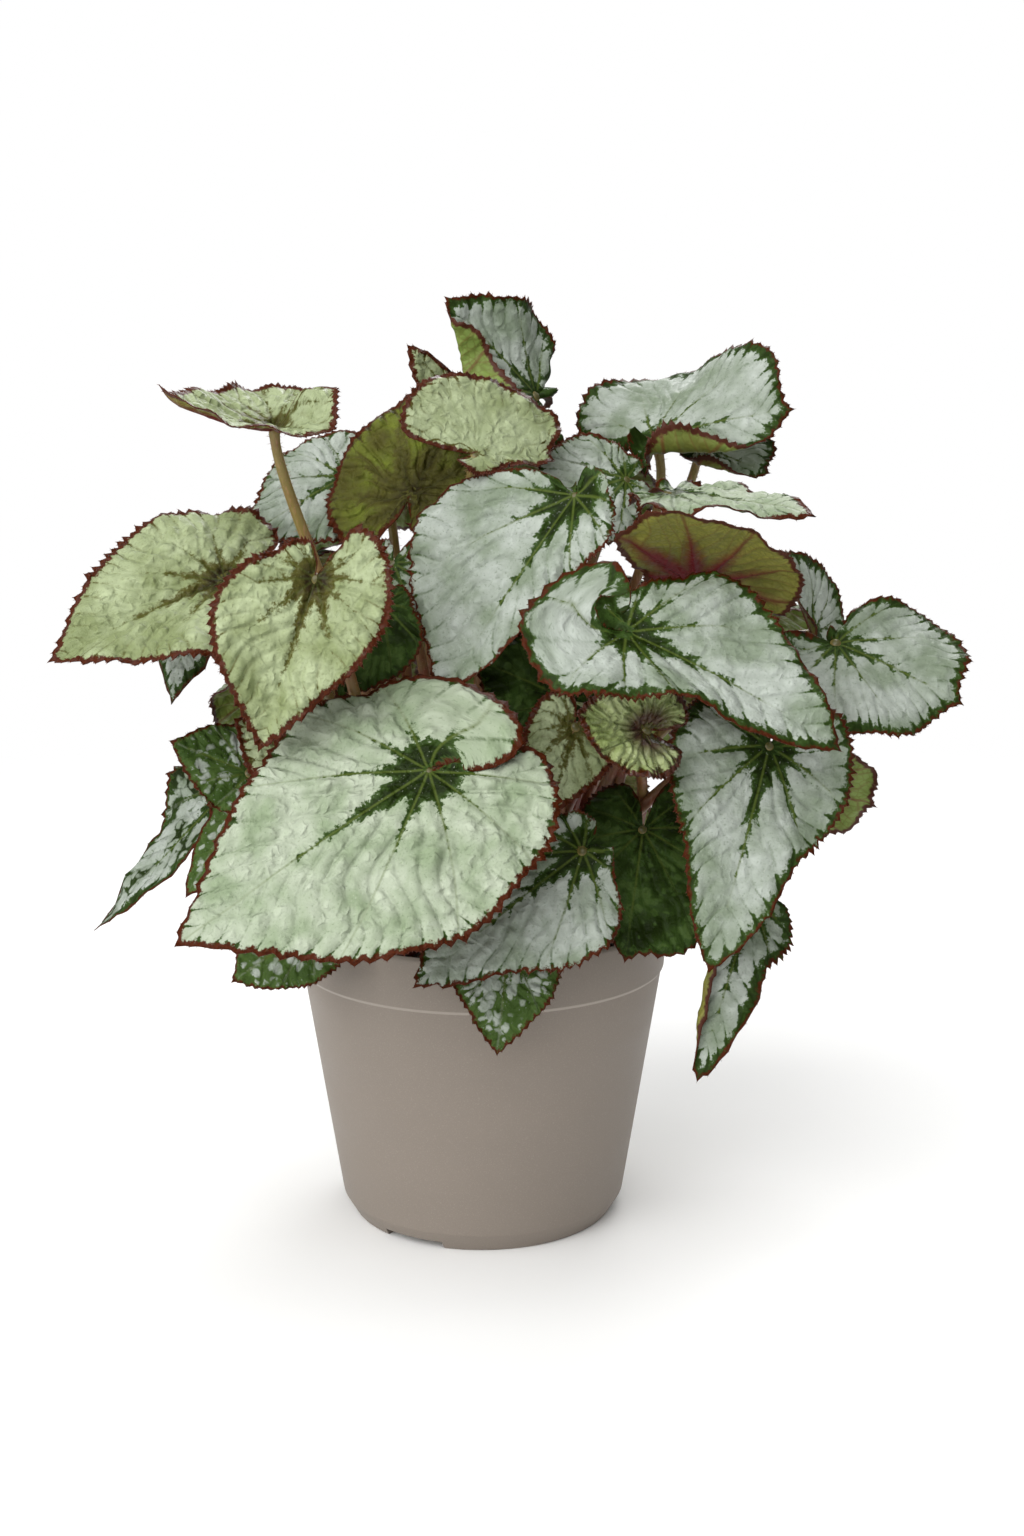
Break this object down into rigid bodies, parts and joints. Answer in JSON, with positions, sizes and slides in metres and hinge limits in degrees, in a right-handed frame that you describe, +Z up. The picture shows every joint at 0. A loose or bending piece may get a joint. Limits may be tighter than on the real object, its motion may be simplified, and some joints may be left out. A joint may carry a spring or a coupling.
{
  "type": "potted rex begonia",
  "caption": "Rex begonia with silver-green heart-shaped leaves, dark veins and red-brown toothed margins, growing in a plain round taupe nursery pot.",
  "frame": {"origin": "centre of the pot's underside, on the surface that it stands on", "axes": "+Z up along the pot's axis, -Y towards the viewer, +X to the viewer's right"},
  "size_m": [0.3226, 0.257, 0.3541],
  "materials": {
    "pot": "matte",
    "soil": "matte",
    "stalk": "matte",
    "leaf": "satin"
  },
  "bodies": {
    "root": {"pot": "pot", "soil": "soil", "crown_front_left": "stalk", "crown_front_right": "stalk", "crown_back_left": "stalk", "crown_back_right": "stalk", "leaf_front_big": "leaf", "leaf_left_heart": "leaf", "leaf_left_far": "leaf", "leaf_left_top": "leaf", "leaf_left_strip": "leaf", "leaf_cup": "leaf", "leaf_behind_cup": "leaf", "leaf_behind_left": "leaf", "leaf_centre_big": "leaf", "leaf_behind_centre": "leaf", "leaf_top": "leaf", "leaf_top_left": "leaf", "leaf_top_right": "leaf", "leaf_right_oval": "leaf", "leaf_right_edge": "leaf", "leaf_turned": "leaf", "leaf_spiral": "leaf", "leaf_right_far": "leaf", "leaf_right_curl": "leaf", "leaf_right_droop": "leaf", "leaf_right_under": "leaf", "leaf_right_twist": "leaf", "leaf_young": "leaf", "leaf_inner_dark": "leaf", "leaf_inner_strip": "leaf", "leaf_front_low": "leaf", "leaf_front_small": "leaf", "leaf_front_dark": "leaf", "leaf_left_low": "leaf", "leaf_left_small": "leaf", "leaf_left_lowest": "leaf", "leaf_left_hang": "leaf", "leaf_left_inner": "leaf", "leaf_middle_silver": "leaf", "leaf_middle_dark": "leaf", "leaf_side_left": "leaf", "leaf_side_right": "leaf", "leaf_back_01": "leaf", "leaf_back_02": "leaf", "leaf_back_03": "leaf", "leaf_back_04": "leaf", "leaf_back_05": "leaf", "leaf_back_06": "leaf", "leaf_back_07": "leaf", "leaf_back_08": "leaf", "leaf_back_09": "leaf", "leaf_back_10": "leaf", "leaf_back_11": "leaf"}
  },
  "joints": []
}
